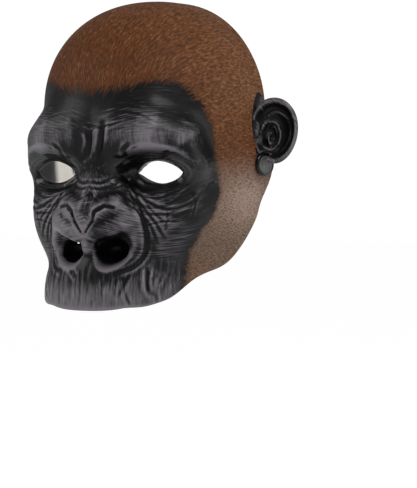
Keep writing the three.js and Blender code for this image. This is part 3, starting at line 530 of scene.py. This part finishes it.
guides = {
    "brushed": brushed * (1 - ear_part) + (1.15 * helix - 0.05) * ear_part,
    # The fur guide sinks on the ears, which are painted black, and in front of each ear's root, which is
    # painted shade.
    "fur": fur - 120 * ear_part - 110 * np.exp(-root**6),
    "fine": stands[FINE_STEPS] * (1 - 0.6 * ear_part), "broad": stands[BROAD_STEPS], "cheek": cheek,
    "upright": np.clip((-58 - p[:, 2]) / 10, 0, 1) + np.clip(1 - np.abs(p[:, 2] - 22) / 14, 0, 1) * 0.8,
    "lid": np.hypot((np.abs(p[:, 0]) - EYE_SPACING / 2 - 1) / 19, p[:, 2] / 8.5) + 9 * (p[:, 1] > 45),
    "rear": np.clip((p[:, 1] + 10) / 75, 0, 1) * np.clip((p[:, 2] - 5) / 40, 0, 1),
    "pale": np.exp(-((p[:, 2] + 20) / 20)**2 - ((p[:, 1] - 62) / 32)**2),
    # Distance from each eye, for the black painted shade on the inside round the eye holes.
    "spray": np.linalg.norm((one_side - (EYE_SPACING / 2, -8, 0)) / (1, 1, 1.4), axis=1),
}
for name, values in guides.items():
    mesh.attributes.new(name, "FLOAT", "POINT").data.foreach_set("value", values.astype(np.float32))
lay = np.stack([STRANDS_ROUND * np.cos(turn), STRANDS_ROUND * np.sin(turn), STRANDS_OUT * angle], 1)
lay = lay.astype(np.float32)
mesh.attributes.new("lay", "FLOAT_VECTOR", "POINT").data.foreach_set("vector", lay.ravel())
stroke = np.column_stack([rings, 5 * beside_eye[:, (2, 0)] / (rings + 3)[:, None]]).astype(np.float32)
mesh.attributes.new("stroke", "FLOAT_VECTOR", "POINT").data.foreach_set("vector", stroke.ravel())
middles = np.empty(3 * len(mesh.polygons), np.float32)
mesh.polygons.foreach_get("center", middles)
middles = middles.reshape(-1, 3).astype(float)
facing = np.array([f.vector for f in mesh.polygon_normals])
low, outward = slope(middles)
turn, angle = polar(middles)
bare = ((facing * outward).sum(1) < -0.3) & (low < -0.4 * WALL)
bare |= (angle > 0.997 * edge_open(turn)) & (low < -0.1 * WALL)
mesh.polygons.foreach_set("material_index", bare.astype(np.int32))
mesh.polygons.foreach_set("use_smooth", np.ones(len(mesh.polygons), bool))
mesh.vertices.foreach_set("co", ((p - crown_seat) / 1000).astype(np.float32).ravel())
mesh.update()


class Paint:
    """A number, colour or direction in a finish. Arithmetic on numbers adds Math nodes."""

    def __init__(self, finish, socket=None):
        self.finish, self.socket = finish, socket

    def node(self, kind, settings, sockets, out=0):
        made = self.finish.node_tree.nodes.new("ShaderNode" + kind)
        for name, value in settings.items():
            if name == "stops":
                for k, (at, tone) in enumerate(value):
                    stop = made.color_ramp.elements[k] if k < 2 else made.color_ramp.elements.new(at)
                    stop.position, stop.color = at, tone
            else:
                setattr(made, name, value)
        for name, value in sockets.items():
            if isinstance(value, Paint):
                self.finish.node_tree.links.new(value.socket, made.inputs[name])
            else:
                made.inputs[name].default_value = value
        return Paint(self.finish, made.outputs[out] if made.outputs else None)

    def math(self, operation, *values):
        return self.node("Math", {"operation": operation}, dict(enumerate(values)))

    def __add__(self, other):
        return self.math("ADD", self, other)

    def __sub__(self, other):
        return self.math("SUBTRACT", self, other)

    def __rsub__(self, other):
        return self.math("SUBTRACT", other, self)

    def __mul__(self, other):
        return self.math("MULTIPLY", self, other)

    __radd__, __rmul__ = __add__, __mul__

    def between(self, low, high):
        """0 below low, 1 above high, eased between them."""
        return self.node("MapRange", {"interpolation_type": "SMOOTHSTEP"}, {0: self, 1: low, 2: high})

    def tint(self, low, high):
        """Blends two colours by this number."""
        return self.node("Mix", {"data_type": "RGBA"}, {0: self, 6: low, 7: high}, 2)

    def guide(self, name, out=2):
        return self.node("Attribute", {"attribute_name": name}, {}, out)

    def grain(self, vector, scale, detail=2.0, rough=0.5, stretch=(1, 1, 1)):
        spread = self.node("Mapping", {"vector_type": "POINT"}, {"Vector": vector, "Scale": stretch})
        return self.node("TexNoise", {}, {"Vector": spread, "Scale": scale, "Detail": detail,
                                          "Roughness": rough})


def tone(red, green, blue):
    """A colour read off as 0 to 255, made linear."""
    return tuple((c / 255 / 12.92 if c < 11 else ((c / 255 + 0.055) / 1.055)**2.4)
                 for c in (red, green, blue)) + (1,)


def finish_for(piece, name):
    finish = bpy.data.materials.new(name)
    finish.use_nodes = True
    finish.node_tree.nodes.clear()
    piece.data.materials.append(finish)
    return Paint(finish)


def finished(paint, sockets):
    surface = paint.node("BsdfPrincipled", {}, sockets)
    paint.node("OutputMaterial", {}, {"Surface": surface})


# Mask skin, the paint. The outside is sprayed black and brown, and the ridges of the face are dry-brushed
# with grey. The brush went round the eyes and up and down the lip. Some of it is painted light: a highlight
# on the right nose wing, glints on the lid rings, and shade under the brow and in front of the ears.
paint = finish_for(skin, "painted_latex")
spot = paint.node("TexCoord", {}, {}, 3)
lay, stroke = paint.guide("lay", 1), paint.guide("stroke", 1)
fur, fine, broad, lid = paint.guide("fur"), paint.guide("fine"), paint.guide("broad"), paint.guide("lid")
cheek, brushed, upright = paint.guide("cheek"), paint.guide("brushed"), paint.guide("upright")
rear, pale = paint.guide("rear"), paint.guide("pale")
strands = paint.grain(lay, 1.5, 2.0, 0.55)
tufts = paint.grain(lay, 0.35, 2.0, 0.5)
mottle = paint.grain(spot, 32.0, 3.0, 0.55)
grit = paint.grain(spot, 900.0, 2.0, 0.6)
furry = (fur + (tufts - 0.5) * 12 + (strands - 0.5) * 10).between(-1.0, 2.5)
round_lines = paint.grain(stroke, 1.3, 3.0, 0.62)
upright_lines = paint.grain(spot, 1.0, 3.0, 0.62, (800, 400, 75))
lines = round_lines * (1 - upright) + upright_lines * upright
near_lid = lid.between(2.2, 1.25)
folds = lid.math("SINE", lid * 30 + (round_lines - 0.5) * 5) * near_lid

coat = rear.tint(tone(82, 45, 20), tone(101, 66, 43))
coat = (mottle.between(0.35, 0.7) * 0.35).tint(coat, tone(64, 37, 20))
coat = (cheek * 0.9).tint(coat, tone(93, 77, 65))
coat = (pale * 0.85).tint(coat, tone(140, 120, 110))
coat = (strands.between(0.56, 0.36) * 0.55).tint(coat, tone(34, 21, 14))
coat = (strands.between(0.55, 0.72) * 0.25).tint(coat, tone(150, 112, 84))
coat = (fur.between(7, -2) * 0.8).tint(coat, tone(20, 15, 13))
strokes = (lines - 0.5) * (4.8 - upright * 2.1)
raised = brushed + fine * 3.8 + broad * 0.06 + strokes + (mottle - 0.5) * 1.4 - 0.2
raised = raised.between(-0.3, 2.3) * fur.between(1, -12)
face = raised.tint(tone(12, 12, 13), tone(100, 96, 101))
face = (lines.between(0.6, 0.68) * brushed.between(0.0, 0.6) * 0.3).tint(face, tone(124, 120, 124))
# The lids are painted black, and the rings over the lid folds are left lighter as painted glints.
face = (near_lid * (folds * -0.3 + 0.7)).tint(face, tone(4, 4, 4))
face = (brushed - 0.2).between(-0.5, -1.6).tint(face, tone(5, 5, 5))
face = ((fine + (lines - 0.5) * 0.2).between(-0.08, -0.45) * 0.85).tint(face, tone(6, 6, 6))
colour = furry.tint(face, coat)
relief = furry * (strands * 0.7 + tufts * 0.3) + (1 - furry) * (lines * 0.45 + grit * 0.1 + folds * 0.35)
bump = paint.node("Bump", {}, {"Strength": 0.8, "Distance": 0.0008, "Height": relief})
finished(paint, {
    "Base Color": colour, "Roughness": furry * 0.16 + 0.42 + (grit - 0.5) * 0.1, "Normal": bump,
    "Specular IOR Level": 0.08, "Coat Weight": near_lid * 0.3 + (1 - furry) * 0.08, "Coat Roughness": 0.2,
})

# Mask skin, the inside. It and the cut edge are the bare latex, pale and a little blotched, with black
# painted shade round the eyes.
paint = finish_for(skin, "bare_latex")
spot = paint.node("TexCoord", {}, {}, 3)
cloud = paint.grain(spot, 40.0, 4.0, 0.6)
pores = paint.grain(spot, 700.0, 2.0, 0.6)
latex = cloud.between(0.3, 0.75).tint(tone(242, 239, 233), tone(230, 223, 211))
finished(paint, {
    # Black painted shade on the inside round the eye holes.
    "Base Color": (paint.guide("spray") + (cloud - 0.5) * 12).between(60, 46).tint(latex, tone(14, 13, 14)),
    "Roughness": 0.5 + (pores - 0.5) * 0.15,
    "Normal": paint.node("Bump", {}, {"Strength": 0.4, "Distance": 0.0006, "Height": pores * 0.4 + cloud}),
})
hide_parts("mask_skin")
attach(skin, "root")

# Rivets: a dark grey cap with a glossy black bevelled rim on each side, on a shank through the skin and
# the strap, closed over a small foot inside. The rim's black is partly painted shade for the gap round the
# cap. The soft skin lets each cap lean forward.
CAP_LEAN, CAP_STAND, CAP_RIM = 10, 1.2, 2.1
for side, name in ((1, "rivet_left"), (-1, "rivet_right")):
    turned = bmesh.new()
    top = cap_low + CAP_THICK
    foot, cap_half = FOOT_WIDTH / 2, CAP_WIDTH / 2
    profile = [(0, foot_top - FOOT_THICK), (foot - 0.5, foot_top - FOOT_THICK),
               (foot, foot_top - 0.7 * FOOT_THICK), (foot, foot_top), (SHANK / 2, foot_top),
               (SHANK / 2, cap_low), (cap_half - 0.2, cap_low),
               (cap_half, cap_low + 0.25), (cap_half, cap_low + 0.9), (cap_half - 0.25, cap_low + 1.5),
               (cap_half - 0.9, top - 0.05), (cap_half - 1.3, top), (cap_half - 1.75, top - 0.3),
               (cap_half - 2.4, top - 0.25), (0, top - 0.05)]
    points = [turned.verts.new((r, 0, h)) for r, h in profile]
    for a, b in zip(points, points[1:]):
        turned.edges.new((a, b))
    bmesh.ops.spin(turned, geom=turned.verts[:] + turned.edges[:], cent=(0, 0, 0), axis=(0, 0, 1), steps=72,
                   angle=2 * math.pi, use_merge=True)
    bmesh.ops.remove_doubles(turned, verts=turned.verts, dist=0.001)
    bmesh.ops.recalc_face_normals(turned, faces=turned.faces)
    cap = [v for v in turned.verts if v.co.z > cap_low - 0.01]
    lean = Matrix.Rotation(math.radians(-CAP_LEAN), 3, "Y")
    bmesh.ops.rotate(turned, cent=(0, 0, cap_low), matrix=lean, verts=cap)
    bmesh.ops.translate(turned, vec=(0, 0, CAP_STAND), verts=cap)
    bmesh.ops.transform(turned, matrix=onto_rivet, verts=turned.verts)
    if side < 0:
        bmesh.ops.scale(turned, vec=(-1, 1, 1), verts=turned.verts)
    bmesh.ops.recalc_face_normals(turned, faces=turned.faces)
    bmesh.ops.translate(turned, vec=-Vector(crown_seat), verts=turned.verts)
    bmesh.ops.scale(turned, vec=(0.001, 0.001, 0.001), verts=turned.verts)
    rims = [f.calc_center_median() for f in turned.faces]
    rivet = piece_of(name + "_cap", turned)
    rivet.data.shade_smooth()
    middle = np.array([side, 1, 1]) * (seat[0] + axis * (cap_low + CAP_STAND)) - crown_seat
    out_from = [math.dist(np.array(c) * 1000, middle) for c in rims]
    # Faces near the cap's edge get the black rim, which is partly painted shade round the cap.
    rivet.data.polygons.foreach_set("material_index", [int(away > cap_half - CAP_RIM) for away in out_from])
    paint = finish_for(rivet, "dark_cap_" + name[6:])
    spot = paint.node("TexCoord", {}, {}, 3)
    wear = paint.grain(spot, 260.0, 4.0, 0.65)
    finished(paint, {
        "Base Color": wear.between(0.4, 0.8).tint(tone(56, 55, 57), tone(80, 78, 79)),
        "Roughness": 0.3 + wear * 0.2, "Specular IOR Level": 0.3,
        "Normal": paint.node("Bump", {}, {"Strength": 0.15, "Distance": 0.0003, "Height": wear}),
    })
    paint = finish_for(rivet, "black_rim_and_shade_" + name[6:])
    finished(paint, {"Base Color": tone(6, 6, 7), "Roughness": 0.2, "Specular IOR Level": 0.2})
    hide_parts(name)
    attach(rivet, "root")

# Elastic strap: flat black woven elastic, riveted flat inside each temple. It swings round behind the head
# and climbs a little on the way.
hook = seat[0] + axis * (strap_top - STRAP_THICK / 2)
back_way = rearward * np.sign(rearward[1])
flat = hook + back_way * STRAP_TAB
rear = np.array([0, RIVET_BACK + STRAP_REACH, hook[2] + STRAP_RISE])
bend = [flat, flat + (-0.05 * STRAP_REACH, 0.5 * STRAP_REACH, 0), rear + (0.55 * HEAD_WIDTH / 2, 0, 0), rear]
half = [hook - back_way * STRAP_END + back_way * (STRAP_END + STRAP_TAB) * k / 6 for k in range(6)]
for k in range(33):
    t = k / 32
    half.append(sum(m * g for m, g in zip([(1 - t)**3, 3 * t * (1 - t)**2, 3 * t * t * (1 - t), t**3], bend)))
path = np.array(half + [q * (-1, 1, 1) for q in half[-2::-1]])
runs = np.gradient(path, axis=0)
runs /= np.linalg.norm(runs, axis=1)[:, None]
across = np.stack([-runs[:, 1], runs[:, 0], 0 * runs[:, 0]], 1)
across /= np.linalg.norm(across, axis=1)[:, None]
upright = np.cross(runs, across)
length = np.concatenate([[0], np.cumsum(np.linalg.norm(np.diff(path, axis=0), axis=1))])
band = bmesh.new()
verts = bmesh.ops.create_grid(band, x_segments=len(path) - 1, y_segments=12, size=1)["verts"]
weave = band.loops.layers.uv.new("weave")
for v in verts:
    k, up = round((v.co.x + 1) / 2 * (len(path) - 1)), v.co.y * STRAP_WIDTH / 2
    for loop in v.link_loops:
        loop[weave].uv = (length[k] / 1000, up / 1000)
    v.co = Vector(path[k] + upright[k] * up + across[k] * STRAP_THICK / 2)
made = bmesh.ops.solidify(band, geom=band.faces[:], thickness=STRAP_THICK)
bmesh.ops.recalc_face_normals(band, faces=band.faces)
bmesh.ops.translate(band, vec=-Vector(crown_seat), verts=band.verts)
bmesh.ops.scale(band, vec=(0.001, 0.001, 0.001), verts=band.verts)
strap = piece_of("woven_elastic", band)
paint = finish_for(strap, "black_elastic")
thread = paint.node("UVMap", {"uv_map": "weave"}, {})
rows = paint.node("TexWave", {"bands_direction": "X"}, {"Vector": thread, "Scale": 420.0})
ribs = paint.node("TexWave", {"bands_direction": "Y"}, {"Vector": thread, "Scale": 260.0})
fuzz = paint.grain(thread, 2500.0, 2.0, 0.6)
threads = rows * ribs + (fuzz - 0.5) * 0.3
finished(paint, {
    "Base Color": threads.between(0.1, 0.9).tint(tone(12, 12, 13), tone(38, 38, 40)),
    "Roughness": 0.8 + fuzz * 0.15, "Specular IOR Level": 0.3,
    "Normal": paint.node("Bump", {}, {"Strength": 0.7, "Distance": 0.0005,
                                      "Height": rows * 0.6 + ribs * 0.5}),
})
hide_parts("elastic_strap")
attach(strap, "root")

# Floor, light and camera.
ground = bmesh.new()
bmesh.ops.create_grid(ground, x_segments=1, y_segments=1, size=12)
bmesh.ops.translate(ground, vec=(0, 0, -0.62), verts=ground.verts)
floor = piece_of("floor", ground)
paint = finish_for(floor, "pale_floor")
finished(paint, {"Base Color": (0.6, 0.6, 0.6, 1), "Roughness": 0.9, "Emission Color": (1, 1, 1, 1),
                 "Emission Strength": 0.8})

scene = bpy.context.scene
scene.view_settings.view_transform = "Standard"
world = bpy.data.worlds.new("studio")
world.use_nodes = True
scene.world = world
tree = world.node_tree
shown = tree.nodes.new("ShaderNodeLightPath")
level = tree.nodes.new("ShaderNodeMapRange")
level.inputs["To Min"].default_value, level.inputs["To Max"].default_value = 0.3, 1.05
tree.links.new(shown.outputs["Is Camera Ray"], level.inputs["Value"])
tree.links.new(level.outputs[0], tree.nodes["Background"].inputs["Strength"])
tree.nodes["Background"].inputs["Color"].default_value = (1, 1, 1, 1)
target = Vector((0, -0.01, -0.12))
for name, azimuth, elevation, distance, size, power in (
        ("key", 55, 45, 1.1, 0.5, 9), ("fill", -50, 25, 1.3, 0.6, 7), ("side", 110, 15, 1.3, 0.7, 5)):
    lamp = bpy.data.lights.new(name, "AREA")
    lamp.size, lamp.energy = size, power
    lit = bpy.data.objects.new(name, lamp)
    az, el = math.radians(azimuth), math.radians(elevation)
    way = Vector((math.sin(az) * math.cos(el), -math.cos(az) * math.cos(el), math.sin(el)))
    lit.location = target + way * distance
    lit.rotation_mode = "QUATERNION"
    lit.rotation_quaternion = (-way).to_track_quat("-Z", "Y")
    scene.collection.objects.link(lit)

WIDE, HIGH, EYES_AT = 417, 488, (111, 172)
az, el, distance, pixel = math.radians(31), math.radians(2), 1.6, 0.00072
back = Vector((math.sin(az) * math.cos(el), -math.cos(az) * math.cos(el), math.sin(el)))
camera = bpy.data.objects.new("camera", bpy.data.cameras.new("camera"))
camera.rotation_mode = "QUATERNION"
camera.rotation_quaternion = (-back).to_track_quat("-Z", "Y")
right, up = camera.rotation_quaternion @ Vector((1, 0, 0)), camera.rotation_quaternion @ Vector((0, 1, 0))
eyes = -Vector(crown_seat) / 1000
camera.location = (eyes + right * (WIDE / 2 - EYES_AT[0]) * pixel - up * (HIGH / 2 - EYES_AT[1]) * pixel
                   + back * distance)
camera.data.sensor_width, camera.data.lens = 36, 36 * distance / pixel / HIGH
camera.data.clip_start, camera.data.clip_end = 0.05, 50
scene.collection.objects.link(camera)
scene.camera = camera
